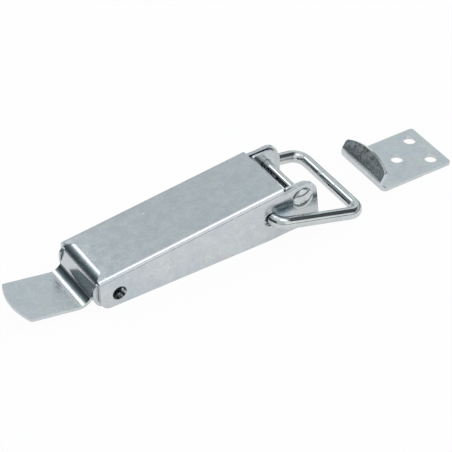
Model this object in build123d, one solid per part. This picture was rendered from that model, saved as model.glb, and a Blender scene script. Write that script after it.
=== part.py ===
from build123d import *
import math
import os

# Over centre toggle latch with its hook keeper: three steel pressings, a bent wire bail and a rivet.
#
# Frame: +X runs from the finger tab to the keeper, +Y across the latch, +Z up from the mounting face.
# The origin is the centre of the base's four screw holes, on the base's underside.
# Everything is modelled closed: the lever lies over the base and the bail's crossbar rests on the case.

# ---- Driving sizes, millimetres and degrees ------------------------------------------------------

lever_sheet = 1.6            # thickness of each pressing
base_sheet = 1.3
keeper_sheet = 1.6
wire_d = 5.0                 # bail wire
running_gap = 0.1            # radial gap of the lever on the rivet, and under each rivet head
assembly_gap = 0.25          # between pressings that slide past each other

# Lever: a wedge shaped inverted channel that ends in a finger tab.
lever_width = 30.0           # over the side walls
lever_fold_r = 2.2           # outside radius of the folds along both walls
heel_reach = 90.7            # pivot back to the end of the walls, at the tab
heel_height = 14.15          # mounting face to the top of the lever, at the end of the walls
wedge_angle = 6.0            # rise of the top towards the pivot
wall_foot_gap = 0.5          # mounting face to the bottom edge of the walls
heel_corner_r = 4.5          # lower corner of each wall, below the tab
top_setback = 8.8            # pivot back to the cut end of the top

# Lever ears: the walls past the cut end of the top, pressed in to leave room for the rivet heads.
ear_reach = 6.9              # pivot forward to the front of the ears, level with it
ear_top_drop = 2.65          # the ears' top edges below the lever's top
ear_corner_r = 5.6           # upper front corner of each ear
ear_press = 0.6              # how far the ears are pressed in from the walls
press_start = 15.0           # pivot back to where the press begins
press_end = 5.2              # pivot back to where the press is full
strip_depth = 4.9            # wall left unpressed below the lever's top
strip_end = 3.4              # pivot back to where that strip has come in too

# Finger tab.
drop_lean = 15.5             # the drop leans out this far from upright
drop_bend_r = 5.2            # outside radius where the top turns down
root_bend_r = 5.0            # upper radius where the drop sweeps out into the tab
root_height = 3.0            # height at which the tab's upper face would meet the drop
tab_rise = 10.6              # rise of the tab towards its tip
tab_reach = 30.1             # end of the walls out to the tip
tip_r = 25.0                 # bowed end of the tab, in plan
tip_corner_r = 1.2
tip_edge_r = 0.5             # rounded upper edge of the tip

# Pivot and over centre geometry.
pivot_ahead = 48.0           # screw hole centre forward to the pivot
pivot_height = 14.6
rivet_d = 4.0
rivet_head_d = 9.3
rivet_rim = 0.5
rivet_dome = 1.5
bail_back = 14.4             # pivot back to the bail's axis
bail_below = 3.3             # pivot down to the bail's axis
bail_hole_d = 6.4
bail_hole_back = 0.4         # play: the wire bears on the front of its hole
bail_hole_below = 0.25

# Padlock holes near the tab.
padlock_d = 6.0
padlock_inset = 8.1          # end of the walls in to the hole
padlock_height = 6.0
padlock_play = 0.3           # the base's holes are this much larger in radius, and this far back

# Base: channel under the lever.
base_fold_r = 2.2            # outside radius of the floor folds
base_tail = 2.1              # end of the walls out to the tail of the flanges
floor_inset = 4.2            # end of the walls in to the end of the floor
tail_lower_r = 7.0
tail_upper_r = 3.0
flange_height = 7.4          # between the padlock ears and the pivot ears
lock_ear_inset = 16.7        # end of the walls in to the front of the padlock ears
lock_ear_run = 5.0           # length of the slope down from them
stop_gap = 0.4               # padlock ears below the closed lever, which stops on them
ear_side_gap = 0.45          # between a base ear and the lever ear outside it
base_press_start = 29.0      # pivot back to where the flanges start to come in
base_press_end = 20.0        # pivot back to where they are fully in
base_ear_reach = 6.6
base_ear_height = 20.3
base_ear_r = 6.0             # upper front corner
base_ear_back = 6.2          # pivot back to the top of the ear's rear slope
base_ear_foot = 11.6         # pivot back to the foot of that slope
blend_r = 2.0                # rounded corners of the flange outline
screw_hole_d = 5.2
screw_pitch_x = 52.0
screw_pitch_y = 12.0
ear_hole_chamfer = 0.4       # broken inner edge of the base's rivet holes

# Bail: one wire, bent flat in a plane that slopes down to the case.
bail_root_half = 19.0        # half width where the arms leave the lever
bail_front_half = 21.7       # half width at the crossbar
bail_ahead = 23.5            # pivot forward to the crossbar
bail_tip_half = 11.2         # half distance between the wire's ends, inside the lever
bail_root_r = 5.0            # centreline radius of the turned in ends
bail_corner_r = 5.2          # centreline radius at the crossbar
wire_chamfer = 0.5

# Keeper: flat plate with one lip curled up and back.
keeper_ahead = 37.5          # pivot forward to the front of the hook
keeper_aside = -1.2          # the keeper lies this far off the latch's centreline
keeper_length = 35.9
keeper_width = 26.6
keeper_corner_r = 1.2
hook_r = 2.8                 # inside radius of the curl, a little over half the wire
hook_lean = 30.0             # the lip leans back this far from upright
lip_side = 3.6               # straight side of the lip above the curl
lip_crown = 6.8              # middle of the lip above the curl
lip_corner_r = 2.4
keeper_hole_d = 5.2
keeper_pair_pitch = 14.3     # the two holes across the free end
keeper_pair_inset = 5.7      # from the free end
keeper_single_ahead = 11.8   # single hole ahead of that pair

# ---- Derived places --------------------------------------------------------------------------------

pivot_x = pivot_ahead
heel_x = pivot_x - heel_reach
top_front_x = pivot_x - top_setback
press_start_x = pivot_x - press_start
lever_half = lever_width / 2
wedge_slope = math.tan(math.radians(wedge_angle))
sheet_drop = lever_sheet / math.cos(math.radians(wedge_angle))    # sheet measured straight down the wedge
base_half = lever_half - lever_sheet - assembly_gap
base_ear_half = lever_half - ear_press - lever_sheet - ear_side_gap
tab_half = base_half - base_sheet - assembly_gap              # the tab closes between the base's flanges
bail_x = pivot_x - bail_back
bail_z = pivot_height - bail_below
padlock_x = heel_x + padlock_inset
root_x = heel_x - (heel_height - root_height) * math.tan(math.radians(drop_lean))    # where drop and tab meet
far = 200.0                                                   # beyond every edge of the part


def top_z(x):
    """Height of the lever's upper face at x."""
    return heel_height + (x - heel_x) * wedge_slope


def ear_front_x(z):
    """Front edge of the lever's ears, square to the lever's top."""
    return pivot_x + ear_reach - (z - pivot_height) * wedge_slope


def side_prism(points, half_width, radii=None):
    """Side view outline, given as (x, z) points, extruded both ways across the latch.

    radii maps a corner's index in points to its rounding.
    """
    outline = make_face(Plane.XZ * Polyline(*points, close=True))
    for index, radius in (radii or {}).items():
        x, z = points[index]
        corner = outline.vertices().sort_by_distance((x, 0, z))[0]
        outline = fillet(corner, radius)
    return extrude(outline, half_width, both=True)


def cross_pin(x, z, diameter, half_length=far):
    """Round bar across the latch, used for the pin and for every hole on a cross axis."""
    axis_plane = Plane(origin=(x, 0, z), x_dir=(1, 0, 0), z_dir=(0, 1, 0))
    return extrude(axis_plane * Circle(diameter / 2), half_length, both=True)


def upright_pin(x, y, diameter):
    """Vertical round bar, used for the screw holes."""
    return extrude(Plane.XY * Pos(x, y) * Circle(diameter / 2), far, both=True)


# ---- Lever -----------------------------------------------------------------------------------------

def lever_channel():
    """The folded channel with straight walls, before the ears are pressed in."""
    outer = side_prism(
        [
            (heel_x, wall_foot_gap),
            (pivot_x, wall_foot_gap),
            (pivot_x, top_z(pivot_x)),
            (heel_x, top_z(heel_x)),
        ],
        lever_half,
        {0: heel_corner_r},
    )
    along_top = outer.faces().sort_by(Axis.Z)[-1].edges().filter_by(lambda e: abs(e.tangent_at(0).Y) < 0.1)
    outer = fillet(along_top, lever_fold_r)

    inner = side_prism(
        [
            (heel_x - far, -far),
            (pivot_x + far, -far),
            (pivot_x + far, top_z(pivot_x + far) - sheet_drop),
            (heel_x - far, top_z(heel_x - far) - sheet_drop),
        ],
        lever_half - lever_sheet,
    )
    under_top = inner.faces().sort_by(Axis.Z)[-1].edges().filter_by(lambda e: abs(e.tangent_at(0).Y) < 0.1)
    inner = fillet(under_top, lever_fold_r - lever_sheet)
    return outer - inner


def pressed_wall(start_x, end_x, outline):
    """Both side walls, coming in by ear_press from start_x to end_x, cut to a side view outline."""
    outer_edge = [
        (start_x - lever_sheet, lever_half),
        (start_x, lever_half),
        (end_x, lever_half - ear_press),
        (pivot_x + 2 * ear_reach, lever_half - ear_press),
    ]
    inner_edge = [(x, y - lever_sheet) for x, y in reversed(outer_edge)]
    ribbon = extrude(make_face(Polyline(*outer_edge, *inner_edge, close=True)), far, both=True)
    walls = ribbon + mirror(ribbon, Plane.XZ)
    return walls & outline


def bend_clearance():
    """What the end bend of the top takes off the channel, mitred at 45 degrees against both folds."""
    start_x = heel_x + 2 * drop_bend_r
    mitre = lever_half - lever_fold_r
    above = FilletPolyline(
        (start_x, top_z(start_x)),
        (heel_x, top_z(heel_x)),
        (root_x, root_height),
        radius=drop_bend_r,
    )
    around = Polyline((root_x, root_height), (root_x - far, root_height), (root_x - far, far), (start_x, far),
                      (start_x, top_z(start_x)))
    cut = extrude(Plane.XZ * make_face([above, around]), far, both=True)
    plan = make_face(
        Polyline((heel_x - far, -mitre - far), (heel_x + mitre, 0), (heel_x - far, mitre + far), close=True)
    )
    return cut & extrude(plan, far)


def finger_tab():
    """Sheet that turns down from the end of the top and sweeps out into the tab."""
    overlap_x = heel_x + 2 * drop_bend_r
    tip_x = heel_x - tab_reach
    tip_z = root_height + (root_x - tip_x) * math.tan(math.radians(tab_rise))
    upper_face = FilletPolyline(
        (overlap_x, top_z(overlap_x)),
        (heel_x, top_z(heel_x)),
        (root_x, root_height),
        (tip_x, tip_z),
        radius=[drop_bend_r, root_bend_r],
    )
    section = Plane.XZ * make_face(offset(upper_face, lever_sheet, side=Side.LEFT))
    tab = extrude(section, tab_half, both=True)

    end_disc = Pos(tip_x + tip_r, 0) * Circle(tip_r)
    beyond_tip = Pos(tip_x, 0) * Rectangle(2 * tip_corner_r + tab_half, far) - end_disc
    tab = tab - extrude(beyond_tip, far, both=True)
    tab = fillet(tab.edges().filter_by(Axis.Z).group_by(Axis.X)[0], tip_corner_r)
    rim = tab.edges().filter_by(lambda e: abs((e @ 0.5).X - tip_x) < 0.01).sort_by(Axis.Z)[-1]
    return fillet(rim, tip_edge_r)


def lever():
    press_end_x = pivot_x - press_end
    strip_end_x = pivot_x - strip_end
    ear_tip_x = ear_front_x(top_z(pivot_x + ear_reach) - ear_top_drop)

    def below_top(depth):
        """Everything ahead of the press start that is at least depth below the lever's top."""
        return side_prism(
            [
                (press_start_x, -far),
                (far, -far),
                (far, top_z(far) - depth),
                (press_start_x, top_z(press_start_x) - depth),
            ],
            far,
        )

    past_top = side_prism([(top_front_x, -far), (far, -far), (far, far), (top_front_x, far)], far)
    unswept = side_prism(
        [(pivot_x, -far), (far, -far), (far, pivot_height), (pivot_x, pivot_height)], far
    ) - cross_pin(pivot_x, pivot_height, 2 * (pivot_height - wall_foot_gap))
    ear_outline = side_prism(
        [
            (press_start_x, wall_foot_gap),
            (ear_front_x(wall_foot_gap), wall_foot_gap),
            (ear_tip_x, top_z(ear_tip_x) - ear_top_drop),
            (press_start_x, top_z(press_start_x) - ear_top_drop),
        ],
        far,
        {2: ear_corner_r},
    ) - unswept
    below_strip = below_top(strip_depth)

    body = lever_channel() - bend_clearance() - below_strip - past_top
    body += pressed_wall(press_start_x, press_end_x, ear_outline & below_strip)
    body += pressed_wall(top_front_x, strip_end_x, (ear_outline - below_strip) & past_top)
    body += finger_tab()

    body -= cross_pin(pivot_x, pivot_height, rivet_d + 2 * running_gap)
    body -= cross_pin(bail_x - bail_hole_back, bail_z - bail_hole_below, bail_hole_d)
    body -= cross_pin(padlock_x, padlock_height, padlock_d)
    return body


# ---- Base ------------------------------------------------------------------------------------------

def base_section(x, half_width):
    """Open topped U section of the base at x."""
    height = 2 * base_ear_height
    section_plane = Plane(origin=(x, 0, 0), x_dir=(0, 1, 0), z_dir=(1, 0, 0))
    outer = Pos(0, height / 2) * Rectangle(2 * half_width, height)
    outer = fillet(outer.vertices().group_by(Axis.Y)[0], base_fold_r)
    inner = Pos(0, base_sheet + height / 2) * Rectangle(2 * (half_width - base_sheet), height)
    inner = fillet(inner.vertices().group_by(Axis.Y)[0], base_fold_r - base_sheet)
    return section_plane * (outer - inner)


def base_plate():
    tail_x = heel_x - base_tail
    front_x = pivot_x + base_ear_reach
    wide_end_x = pivot_x - base_press_start
    narrow_start_x = pivot_x - base_press_end

    wide = extrude(base_section(tail_x, base_half), wide_end_x - tail_x, dir=(1, 0, 0))
    taper = loft([base_section(wide_end_x, base_half), base_section(narrow_start_x, base_ear_half)], ruled=True)
    narrow = extrude(base_section(narrow_start_x, base_ear_half), front_x - narrow_start_x, dir=(1, 0, 0))
    channel = wide + taper + narrow

    lock_front_x = heel_x + lock_ear_inset
    lock_drop = sheet_drop + stop_gap
    flange_outline = side_prism(
        [
            (tail_x, 0),
            (front_x, 0),
            (front_x, base_ear_height),
            (pivot_x - base_ear_back, base_ear_height),
            (pivot_x - base_ear_foot, flange_height),
            (lock_front_x + lock_ear_run, flange_height),
            (lock_front_x, top_z(lock_front_x) - lock_drop),
            (tail_x, top_z(tail_x) - lock_drop),
        ],
        far,
        {0: tail_lower_r, 2: base_ear_r, 3: blend_r, 4: blend_r, 5: blend_r, 6: blend_r, 7: tail_upper_r},
    )
    body = channel & flange_outline
    floor_end = Pos(tail_x, 0, 0) * Box(
        2 * (base_tail + floor_inset), 2 * (base_half - base_sheet), 3 * base_sheet
    )
    body -= floor_end

    for x in (-screw_pitch_x / 2, screw_pitch_x / 2):
        for y in (-screw_pitch_y / 2, screw_pitch_y / 2):
            body -= upright_pin(x, y, screw_hole_d)
    body -= cross_pin(pivot_x, pivot_height, rivet_d)
    body -= cross_pin(padlock_x - padlock_play, padlock_height, padlock_d + 2 * padlock_play)
    rivet_rims = body.edges().filter_by(GeomType.CIRCLE).filter_by(
        lambda e: math.hypot(e.arc_center.X - pivot_x, e.arc_center.Z - pivot_height) < 0.01
    )
    inner_rims = rivet_rims.filter_by(lambda e: abs(e.arc_center.Y) < base_ear_half - base_sheet / 2)
    return chamfer(inner_rims, ear_hole_chamfer)


# ---- Rivet -----------------------------------------------------------------------------------------

def pivot_rivet():
    head_foot = lever_half - ear_press + running_gap
    rim_top = head_foot + rivet_rim
    head_r = rivet_head_d / 2
    cap_rise = rivet_dome / 2 + head_r ** 2 / (2 * rivet_dome)      # radius of the dome
    cap_centre = rim_top + rivet_dome - cap_rise
    half_way = math.asin(head_r / cap_rise) / 2
    dome = ThreePointArc(
        (head_r, rim_top),
        (cap_rise * math.sin(half_way), cap_centre + cap_rise * math.cos(half_way)),
        (0, rim_top + rivet_dome),
    )
    sides = Polyline(
        (0, rim_top + rivet_dome), (0, 0), (rivet_d / 2, 0), (rivet_d / 2, head_foot), (head_r, head_foot),
        (head_r, rim_top),
    )
    half = revolve(make_face([dome, sides]), Axis.Y)
    whole = half + mirror(half, Plane.XZ)
    return Pos(pivot_x, 0, pivot_height) * whole


# ---- Bail ------------------------------------------------------------------------------------------

def bail():
    reach = bail_back + bail_ahead
    fall = bail_z - wire_d / 2
    length = math.hypot(reach, fall)
    loop_plane = Plane(origin=(bail_x, 0, bail_z), x_dir=(reach, 0, -fall), z_dir=(fall, 0, reach))
    centreline = FilletPolyline(
        (0, bail_tip_half),
        (0, bail_root_half),
        (length, bail_front_half),
        (length, -bail_front_half),
        (0, -bail_root_half),
        (0, -bail_tip_half),
        radius=[bail_root_r, bail_corner_r, bail_corner_r, bail_root_r],
    )
    path = loop_plane * centreline
    start = Plane(origin=path @ 0, z_dir=path % 0)
    wire = sweep(start * Circle(wire_d / 2), path)
    ends = wire.faces().filter_by(GeomType.PLANE).edges()
    return chamfer(ends, wire_chamfer)


# ---- Keeper ----------------------------------------------------------------------------------------

def keeper_plate():
    half = keeper_width / 2
    curl_r = hook_r + keeper_sheet

    # The underside runs forward and curls up round the front to the foot of the lip.
    underside = Line((keeper_length, 0), (curl_r, 0))
    curl = JernArc(underside @ 1, underside % 1, curl_r, -(90 + hook_lean))
    section = Plane.XZ * make_face(offset(underside + curl, keeper_sheet, side=Side.RIGHT))
    plate = extrude(section, half, both=True)
    plate = fillet(plate.edges().filter_by(Axis.Z).group_by(Axis.X)[-1], keeper_corner_r)
    pair_x = keeper_length - keeper_pair_inset
    plate -= upright_pin(pair_x, keeper_pair_pitch / 2, keeper_hole_d)
    plate -= upright_pin(pair_x, -keeper_pair_pitch / 2, keeper_hole_d)
    plate -= upright_pin(pair_x - keeper_single_ahead, 0, keeper_hole_d)

    foot = curl @ 1
    rise = curl % 1
    lip_plane = Plane(origin=(foot.X, 0, foot.Y), x_dir=(0, 1, 0), z_dir=(rise.Y, 0, -rise.X))
    sides = Polyline((-half, lip_side), (-half, 0), (half, 0), (half, lip_side))
    crown = ThreePointArc((half, lip_side), (0, lip_crown), (-half, lip_side))
    lip = make_face([sides, crown])
    lip = fillet(lip.vertices().group_by(Axis.Y)[-1], lip_corner_r)
    plate += extrude(lip_plane * lip, keeper_sheet)
    return Pos(pivot_x + keeper_ahead, keeper_aside, 0) * plate


# ---- Files -----------------------------------------------------------------------------------------

os.makedirs("parts", exist_ok=True)
for name, build in (
    ("lever", lever),
    ("base_plate", base_plate),
    ("pivot_rivet", pivot_rivet),
    ("bail", bail),
    ("keeper_plate", keeper_plate),
):
    shape = build()
    shape.label = name
    export_step(shape, f"parts/{name}.step")
    print(name, f"{shape.volume:.0f} mm3")
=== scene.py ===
"""Over centre toggle latch: bright zinc looks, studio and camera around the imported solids.

Every length is in metres. +X runs from the finger tab to the keeper, +Y across the latch, +Z up.
"""

import math

import bpy
from mathutils import Matrix, Vector

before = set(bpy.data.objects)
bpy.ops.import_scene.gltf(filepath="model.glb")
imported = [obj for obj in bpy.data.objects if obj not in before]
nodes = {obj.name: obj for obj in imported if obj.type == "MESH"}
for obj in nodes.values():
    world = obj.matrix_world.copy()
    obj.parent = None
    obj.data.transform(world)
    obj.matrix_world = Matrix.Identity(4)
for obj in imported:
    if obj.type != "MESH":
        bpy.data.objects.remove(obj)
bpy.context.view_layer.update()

MM = 0.001


# ---- Node helpers --------------------------------------------------------------------------------

def new_node(tree, kind, inputs=None, **settings):
    """A shader node with its settings and its unlinked socket values."""
    node = tree.nodes.new(kind)
    for name, value in settings.items():
        setattr(node, name, value)
    for name, value in (inputs or {}).items():
        node.inputs[name].default_value = value
    return node


def new_material(name):
    """A material and its node tree."""
    material = bpy.data.materials.new(name)
    material.use_nodes = True
    return material, material.node_tree


def ramp(tree, source, stops):
    """A colour ramp on source; stops are (position, grey or colour)."""
    node = tree.nodes.new("ShaderNodeValToRGB")
    elements = node.color_ramp.elements
    while len(elements) < len(stops):
        elements.new(0.5)
    for element, (position, colour) in zip(elements, stops):
        element.position = position
        if isinstance(colour, (int, float)):
            colour = (colour, colour, colour)
        element.color = (*colour, 1)
    tree.links.new(source, node.inputs["Fac"])
    return node.outputs["Color"]


def noise(tree, where, scale, detail, rough, stretch=(1, 1, 1)):
    """Noise of about scale grains per metre; stretch multiplies its place along each axis first."""
    mapping = new_node(tree, "ShaderNodeMapping", {"Scale": stretch})
    tree.links.new(where, mapping.inputs["Vector"])
    settings = {"Scale": scale, "Detail": detail, "Roughness": rough}
    node = new_node(tree, "ShaderNodeTexNoise", settings)
    tree.links.new(mapping.outputs["Vector"], node.inputs["Vector"])
    return node.outputs["Fac"]


def mixed(tree, blend, factor, a, b):
    """Colour mix; factor, a and b are sockets or values."""
    node = new_node(tree, "ShaderNodeMix", data_type="RGBA", blend_type=blend)
    factor_socket, a_socket, b_socket = node.inputs[0], node.inputs[6], node.inputs[7]
    for socket, value in ((factor_socket, factor), (a_socket, a), (b_socket, b)):
        if isinstance(value, bpy.types.NodeSocket):
            tree.links.new(value, socket)
        elif isinstance(value, (int, float)):
            socket.default_value = value
        else:
            socket.default_value = (*value, 1)
    colour_out = node.outputs[2]
    return colour_out


def between(tree, value, start, full):
    """0 up to start, rising to 1 at full; full may lie below start."""
    node = new_node(tree, "ShaderNodeMapRange", {"From Min": start, "From Max": full})
    tree.links.new(value, node.inputs["Value"])
    return node.outputs["Result"]


def near(tree, where, centre, inner, outer):
    """1 within inner of centre and 0 beyond outer, the same on both sides of the latch."""
    parts = new_node(tree, "ShaderNodeSeparateXYZ")
    side = new_node(tree, "ShaderNodeMath", operation="ABSOLUTE")
    folded = new_node(tree, "ShaderNodeCombineXYZ")
    reach = new_node(tree, "ShaderNodeVectorMath", operation="DISTANCE")
    tree.links.new(where, parts.inputs[0])
    tree.links.new(parts.outputs["Y"], side.inputs[0])
    tree.links.new(parts.outputs["X"], folded.inputs["X"])
    tree.links.new(side.outputs[0], folded.inputs["Y"])
    tree.links.new(parts.outputs["Z"], folded.inputs["Z"])
    tree.links.new(folded.outputs[0], reach.inputs[0])
    reach.inputs[1].default_value = centre
    return between(tree, reach.outputs["Value"], outer, inner)


# ---- Zinc plate ----------------------------------------------------------------------------------

# Colour: clouds of three greys, dimmed a little by finer patches and a fine mottle.
CLOUD_STOPS = (0.34, 0.50, 0.66)
PATCHES_FINER = 3.1
MOTTLE_FINER = 11
PATCH_DIMMING = [(0.36, 0.92), (0.64, 1.0)]
MOTTLE_DIMMING = [(0.36, 0.93), (0.64, 1.0)]
PATCH_GLOSS_STOPS = (0.3, 0.7)

# Marks: specks in some of the Voronoi cells, and hairline scratches along X.
SPECK_SCALE = 230
SPECK_CELLS = [(0.55, 0.0), (0.75, 1.0)]
SPECK_DISC = [(0.06, 1.0), (0.13, 0.0)]
HAIR_SCALE = 620
HAIR_STRETCH = (0.16, 1.0, 0.6)
HAIR_STOPS = [(0.72, 0.0), (0.77, 0.22)]
MARK_COLOUR = (0.92, 0.93, 0.93)
MARK_ROUGHNESS = 0.1

# Relief: orange peel and mottle in equal parts.
RELIEF_STRENGTH = 0.30
RELIEF_DEPTH = 0.00002

# Tool nicks and worn areas.
NICK_SCALE = 750
NICK_STOPS = [(0.50, 0.0), (0.56, 1.0)]
NICK_HEIGHT = (4.0, 4.0, 4.0)
NICK_ROUGHNESS = 0.25
SCUFF_SCALE = 520
SCUFF_STOPS = (0.38, 0.62)
SCUFF_RELIEF = 0.35


def surface_marks(tree, where):
    """Specks and hairline scratches, 0 where the plate is clean."""
    cells = new_node(tree, "ShaderNodeTexVoronoi", {"Scale": SPECK_SCALE, "Randomness": 1.0})
    tree.links.new(where, cells.inputs["Vector"])
    chosen = ramp(tree, cells.outputs["Color"], SPECK_CELLS)
    disc = ramp(tree, cells.outputs["Distance"], SPECK_DISC)
    specks = mixed(tree, "MULTIPLY", 1.0, chosen, disc)
    hairs = noise(tree, where, HAIR_SCALE, 1.0, 0.4, HAIR_STRETCH)
    return mixed(tree, "ADD", 1.0, specks, ramp(tree, hairs, HAIR_STOPS))


def scuffing(tree, coordinates, evenness, limits):
    """Patchy wear inside all the limits; evenness is its least share there."""
    grain = noise(tree, coordinates.outputs["Object"], SCUFF_SCALE, 4.0, 0.65)
    thin, thick = SCUFF_STOPS
    scuffed = ramp(tree, grain, [(thin, evenness), (thick, 1.0)])
    for output, axis, start, full in limits:
        parts = new_node(tree, "ShaderNodeSeparateXYZ")
        tree.links.new(coordinates.outputs[output], parts.inputs[0])
        reached = between(tree, parts.outputs[axis], start, full)
        scuffed = mixed(tree, "MULTIPLY", 1.0, reached, scuffed)
    return scuffed


def zinc(name, greys, cloud, rough, peel, metal=1.0, painted_shade=None, nicks=None, worn=()):
    """Bright zinc plate: clouds, fine mottle, specks, hairline scratches and a faint orange peel.

    greys are the clouds' three colours, cloud and peel the scales of those two noises, and rough
    the lowest and highest roughness.
    painted_shade is (centre, inner, outer, colour) for a pool of painted bluish shade.
    nicks is (centre, inner, outer) for tool marks.
    worn lists areas as (added roughness, evenness, limits), and each limit is (coordinate, axis,
    where it starts, where it is full).
    """
    material, tree = new_material(name)
    shader = tree.nodes["Principled BSDF"]
    shader.inputs["Metallic"].default_value = metal
    coordinates = new_node(tree, "ShaderNodeTexCoord")
    where = coordinates.outputs["Object"]

    clouds = noise(tree, where, cloud, 4.0, 0.55)
    patches = noise(tree, where, cloud * PATCHES_FINER, 3.0, 0.6)
    mottle = noise(tree, where, cloud * MOTTLE_FINER, 2.0, 0.6)
    orange_peel = noise(tree, where, peel, 2.0, 0.5)
    marks = surface_marks(tree, where)

    base = ramp(tree, clouds, list(zip(CLOUD_STOPS, greys)))
    base = mixed(tree, "MULTIPLY", 1.0, base, ramp(tree, patches, PATCH_DIMMING))
    base = mixed(tree, "MULTIPLY", 1.0, base, ramp(tree, mottle, MOTTLE_DIMMING))
    base = mixed(tree, "MIX", marks, base, MARK_COLOUR)
    gloss = ramp(tree, patches, list(zip(PATCH_GLOSS_STOPS, rough)))
    gloss = mixed(tree, "ADD", MARK_ROUGHNESS, gloss, marks)
    height = mixed(tree, "MIX", 0.5, orange_peel, mottle)

    # A pool of painted bluish shade darkens the colour in the pressed-in pockets.
    if painted_shade:
        centre, inner, outer, colour = painted_shade
        base = mixed(tree, "MULTIPLY", near(tree, where, centre, inner, outer), base, colour)
    if nicks:
        bites = ramp(tree, noise(tree, where, NICK_SCALE, 2.0, 0.6), NICK_STOPS)
        bitten = mixed(tree, "MULTIPLY", 1.0, near(tree, where, *nicks), bites)
        height = mixed(tree, "MIX", bitten, height, NICK_HEIGHT)
        gloss = mixed(tree, "ADD", NICK_ROUGHNESS, gloss, bitten)
    for added, evenness, limits in worn:
        scuffed = scuffing(tree, coordinates, evenness, limits)
        gloss = mixed(tree, "ADD", added, gloss, scuffed)
        scuff_peel = mixed(tree, "MULTIPLY", 1.0, scuffed, orange_peel)
        height = mixed(tree, "ADD", SCUFF_RELIEF, height, scuff_peel)

    relief = {"Strength": RELIEF_STRENGTH, "Distance": RELIEF_DEPTH}
    bump = new_node(tree, "ShaderNodeBump", relief)
    tree.links.new(height, bump.inputs["Height"])
    tree.links.new(base, shader.inputs["Base Color"])
    tree.links.new(gloss, shader.inputs["Roughness"])
    tree.links.new(bump.outputs["Normal"], shader.inputs["Normal"])
    return material


PLATE_GREYS = [(0.655, 0.71, 0.745), (0.695, 0.72, 0.75), (0.715, 0.76, 0.75)]
EDGE_GREYS = [(0.78, 0.80, 0.81), (0.82, 0.83, 0.84), (0.85, 0.86, 0.86)]
WIRE_GREYS = [(0.68, 0.71, 0.72), (0.72, 0.74, 0.74), (0.76, 0.78, 0.77)]

# Painted bluish shade where the walls are pressed in behind the ears, and nicks on the crossbar.
POCKET_PAINTED_SHADE = ((39.5 * MM, 14.0 * MM, 12.8 * MM), 1.2 * MM, 5.2 * MM, (0.62, 0.76, 0.84))
CROSSBAR_NICKS = ((70.5 * MM, 5.0 * MM, 4.5 * MM), 1.0 * MM, 2.6 * MM)

# Wear: the tab's upper face from fingers, the bend at the heel, the lip's face from the wire.
FACES_UP = ("Normal", "Z", 0.0, 0.3)
FACES_TAB = ("Normal", "X", 0.0, -0.3)
TAB_WEAR = (0.18, 0.35, [("Object", "X", -47.0 * MM, -50.5 * MM), FACES_UP])
HEEL_WEAR = (0.08, 0.8, [
    ("Object", "X", -36.0 * MM, -40.5 * MM),
    ("Object", "Z", 9.5 * MM, 12.5 * MM),
])
LIP_WEAR = (0.30, 0.2, [("Object", "Z", 6.2 * MM, 9.4 * MM), FACES_TAB])

# The lever's colour carries the painted bluish shade in the pockets behind the ears.
lever_zinc = zinc(
    "zinc_lever", PLATE_GREYS, cloud=95, rough=(0.14, 0.20), peel=900,
    painted_shade=POCKET_PAINTED_SHADE, worn=[TAB_WEAR, HEEL_WEAR],
)
base_zinc = zinc("zinc_plate", PLATE_GREYS, cloud=95, rough=(0.14, 0.20), peel=900, metal=0.85)
hook_zinc = zinc(
    "zinc_hook", PLATE_GREYS, cloud=95, rough=(0.15, 0.22), peel=900, worn=[LIP_WEAR],
)
# Lighter, glossier zinc for the rolled-over edges.
lighter_edge = zinc("zinc_rubbed_edge", EDGE_GREYS, cloud=120, rough=(0.10, 0.17), peel=900)
wire_zinc = zinc(
    "zinc_wire", WIRE_GREYS, cloud=150, rough=(0.09, 0.14), peel=1100, nicks=CROSSBAR_NICKS,
)
rivet_zinc = zinc("zinc_rivet", WIRE_GREYS, cloud=180, rough=(0.10, 0.15), peel=1100)


# ---- Dressing the solids -------------------------------------------------------------------------

WELD_REACH = 0.002 * MM
FLAT_WITHIN = math.radians(0.4)
SHARP_FROM = math.radians(32)
FACE_AREA_WEIGHT = 50


def dress(name, materials, edge, segments):
    """Gives a solid its materials, the last one for the edges, and rolls its sharp edges over."""
    obj = nodes[name]
    obj.data.materials.clear()
    for material in materials:
        obj.data.materials.append(material)
    weld = obj.modifiers.new("weld", "WELD")
    weld.merge_threshold = WELD_REACH
    flat = obj.modifiers.new("flat", "DECIMATE")
    flat.decimate_type = "DISSOLVE"
    flat.angle_limit = FLAT_WITHIN
    roll = obj.modifiers.new("edge", "BEVEL")
    roll.width = edge
    roll.segments = segments
    roll.limit_method = "ANGLE"
    roll.angle_limit = SHARP_FROM
    roll.use_clamp_overlap = True
    roll.material = len(materials) - 1
    shading = obj.modifiers.new("shading", "WEIGHTED_NORMAL")
    shading.mode = "FACE_AREA"
    shading.weight = FACE_AREA_WEIGHT


dress("lever", [lever_zinc, lighter_edge], 0.22 * MM, 3)
dress("base_plate", [base_zinc, lighter_edge], 0.2 * MM, 3)
dress("keeper_plate", [hook_zinc, lighter_edge], 0.22 * MM, 3)
dress("bail", [wire_zinc], 0.1 * MM, 2)
dress("pivot_rivet", [rivet_zinc], 0.12 * MM, 2)


# ---- Studio: floor -------------------------------------------------------------------------------

FLOOR_HALF = 4.0
FLOOR_DROP = 0.05 * MM
FLOOR_COLOUR = (0.92, 0.92, 0.92)
FLOOR_ROUGHNESS = 0.9
CAMERA_GLOW = 0.96           # share of plain white that the camera sees on the floor
MIRROR_GLOW = 0.56           # share that reflections see


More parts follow.
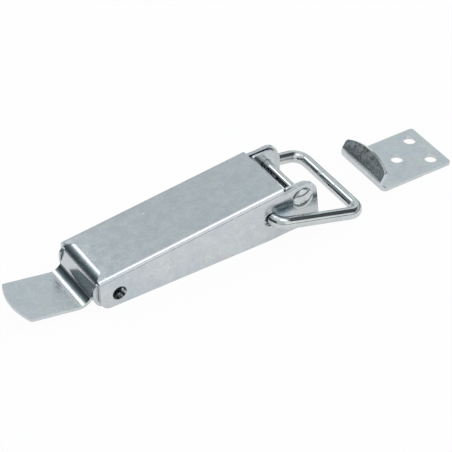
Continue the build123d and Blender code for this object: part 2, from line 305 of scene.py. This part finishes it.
def floor_material():
    """A pale floor that glows to the camera and in reflections; the rest takes the shadows."""
    material, tree = new_material("floor_white")
    shader = tree.nodes["Principled BSDF"]
    shader.inputs["Base Color"].default_value = (*FLOOR_COLOUR, 1)
    shader.inputs["Roughness"].default_value = FLOOR_ROUGHNESS
    shader.inputs["Specular IOR Level"].default_value = 0.0
    path = new_node(tree, "ShaderNodeLightPath")
    mirrored = new_node(tree, "ShaderNodeMath", operation="MAXIMUM")
    tree.links.new(path.outputs["Is Glossy Ray"], mirrored.inputs[0])
    tree.links.new(path.outputs["Is Transmission Ray"], mirrored.inputs[1])
    mirror_share = new_node(tree, "ShaderNodeMath", operation="MULTIPLY")
    mirror_share.inputs[1].default_value = MIRROR_GLOW
    tree.links.new(mirrored.outputs[0], mirror_share.inputs[0])
    share = new_node(tree, "ShaderNodeMath", operation="MULTIPLY_ADD")
    share.inputs[1].default_value = CAMERA_GLOW
    tree.links.new(path.outputs["Is Camera Ray"], share.inputs[0])
    tree.links.new(mirror_share.outputs[0], share.inputs[2])
    glow = new_node(tree, "ShaderNodeEmission", {"Color": (1, 1, 1, 1), "Strength": 1.0})
    mix = new_node(tree, "ShaderNodeMixShader")
    tree.links.new(share.outputs[0], mix.inputs[0])
    tree.links.new(shader.outputs[0], mix.inputs[1])
    tree.links.new(glow.outputs[0], mix.inputs[2])
    tree.links.new(mix.outputs[0], tree.nodes["Material Output"].inputs["Surface"])
    return material


def stage_mesh(name, points, faces, material):
    """A studio sheet that isn't part of the object."""
    mesh = bpy.data.meshes.new(name)
    mesh.from_pydata(points, [], faces)
    mesh.materials.append(material)
    obj = bpy.data.objects.new(name, mesh)
    bpy.context.scene.collection.objects.link(obj)
    return obj


corners = [(x * FLOOR_HALF, y * FLOOR_HALF, 0) for x, y in ((-1, -1), (1, -1), (1, 1), (-1, 1))]
floor = stage_mesh("floor", corners, [(0, 1, 2, 3)], floor_material())
floor.location.z = -FLOOR_DROP


# ---- Studio: cards and flags that only reflections see -------------------------------------------

FLAG_STEPS = 36


def flag(name, azimuths, levels, radius, shades):
    """A curved card or flag around the object, invisible to the camera.

    azimuths and levels are (from, to) in degrees; shades run from its foot to its top.
    """
    material, tree = new_material(name)
    tree.nodes.remove(tree.nodes["Principled BSDF"])
    shade = new_node(tree, "ShaderNodeVertexColor", layer_name="shade")
    glow = new_node(tree, "ShaderNodeEmission", {"Strength": 1.0})
    tree.links.new(shade.outputs["Color"], glow.inputs["Color"])
    tree.links.new(glow.outputs[0], tree.nodes["Material Output"].inputs["Surface"])

    rows = len(shades)
    points, faces, colours = [], [], []
    for i in range(FLAG_STEPS + 1):
        turn = math.radians(azimuths[0] + (azimuths[1] - azimuths[0]) * i / FLAG_STEPS)
        for j, colour in enumerate(shades):
            rise = math.radians(levels[0] + (levels[1] - levels[0]) * j / (rows - 1))
            points.append((
                radius * math.cos(turn) * math.cos(rise),
                radius * math.sin(turn) * math.cos(rise),
                radius * math.sin(rise),
            ))
            colours.append((*colour, 1))
    for i in range(FLAG_STEPS):
        for j in range(rows - 1):
            k = i * rows + j
            faces.append((k, k + 1, k + rows + 1, k + rows))

    obj = stage_mesh(name, points, faces, material)
    layer = obj.data.color_attributes.new("shade", "FLOAT_COLOR", "POINT")
    for i, colour in enumerate(colours):
        layer.data[i].color = colour
    obj.visible_camera = False
    obj.visible_diffuse = False
    obj.visible_shadow = False


DARK = (0.034, 0.042, 0.047)
DUSK = (0.075, 0.088, 0.092)
TEAL = (0.07, 0.13, 0.145)
GREY = (0.40, 0.44, 0.45)
PALE = (0.70, 0.755, 0.765)
WHITE = (0.95, 0.97, 0.97)
flag("flag_left", (114, 215), (0, 45), 0.9, [DARK, DARK, DARK, DUSK, TEAL, GREY])
flag("flag_near", (-42, 24), (18, 52), 0.9, [GREY, DUSK, DUSK, DUSK, GREY])
flag("card_far", (26, 63), (8, 43), 0.92, [PALE] * 3)
flag("card_near", (-92, -45), (6, 50), 0.92, [WHITE] * 3)
flag("horizon", (-180, 180), (0, 7), 0.30, [DARK, DUSK, GREY])


# ---- Studio: lamps and world ---------------------------------------------------------------------

def softbox(name, centre, size, radiance, level=False):
    """A rectangular lamp that faces the object, or straight down if level.

    radiance is how bright its face looks.
    """
    data = bpy.data.lights.new(name, "AREA")
    data.shape = "RECTANGLE"
    data.size, data.size_y = size
    data.energy = radiance * math.pi * size[0] * size[1]
    lamp = bpy.data.objects.new(name, data)
    lamp.location = centre
    if not level:
        lamp.rotation_euler = Vector(centre).to_track_quat("Z", "Y").to_euler()
    bpy.context.scene.collection.objects.link(lamp)


softbox("overhead", (0.10, -0.02, 0.80), (0.56, 0.66), 0.38)
softbox("fold_strip", (0.18, -0.23, 0.62), (0.34, 0.20), 2.0, level=True)
softbox("far_side", (-0.05, 0.72, 0.86), (0.30, 0.26), 2.0)

WORLD_COLOUR = (0.60, 0.65, 0.665)
world = bpy.data.worlds.new("studio")
world.use_nodes = True
background = world.node_tree.nodes["Background"]
background.inputs["Color"].default_value = (*WORLD_COLOUR, 1)
background.inputs["Strength"].default_value = 1.0
bpy.context.scene.world = world


# ---- Camera, fitted to the photograph ------------------------------------------------------------

FRAME_PX = 452
FOCAL_PX = 2032
SENSOR_WIDTH = 36.0
NEAREST_SEEN = 0.01
EYE = (-0.30575, -0.51026, 0.51315)
RIGHTWARD = (0.8413, -0.5405, 0)
BACKWARD = (-0.4134, -0.6434, 0.6443)

camera_data = bpy.data.cameras.new("camera")
camera_data.sensor_fit = "HORIZONTAL"
camera_data.sensor_width = SENSOR_WIDTH
camera_data.lens = FOCAL_PX / FRAME_PX * SENSOR_WIDTH
camera_data.clip_start = NEAREST_SEEN
camera = bpy.data.objects.new("camera", camera_data)
bpy.context.scene.collection.objects.link(camera)
back = Vector(BACKWARD).normalized()
up = back.cross(Vector(RIGHTWARD).normalized()).normalized()
right = up.cross(back)
turn = Matrix((right, up, back)).transposed().to_4x4()
camera.matrix_world = Matrix.Translation(Vector(EYE)) @ turn
bpy.context.scene.camera = camera
bpy.context.scene.view_settings.view_transform = "Standard"
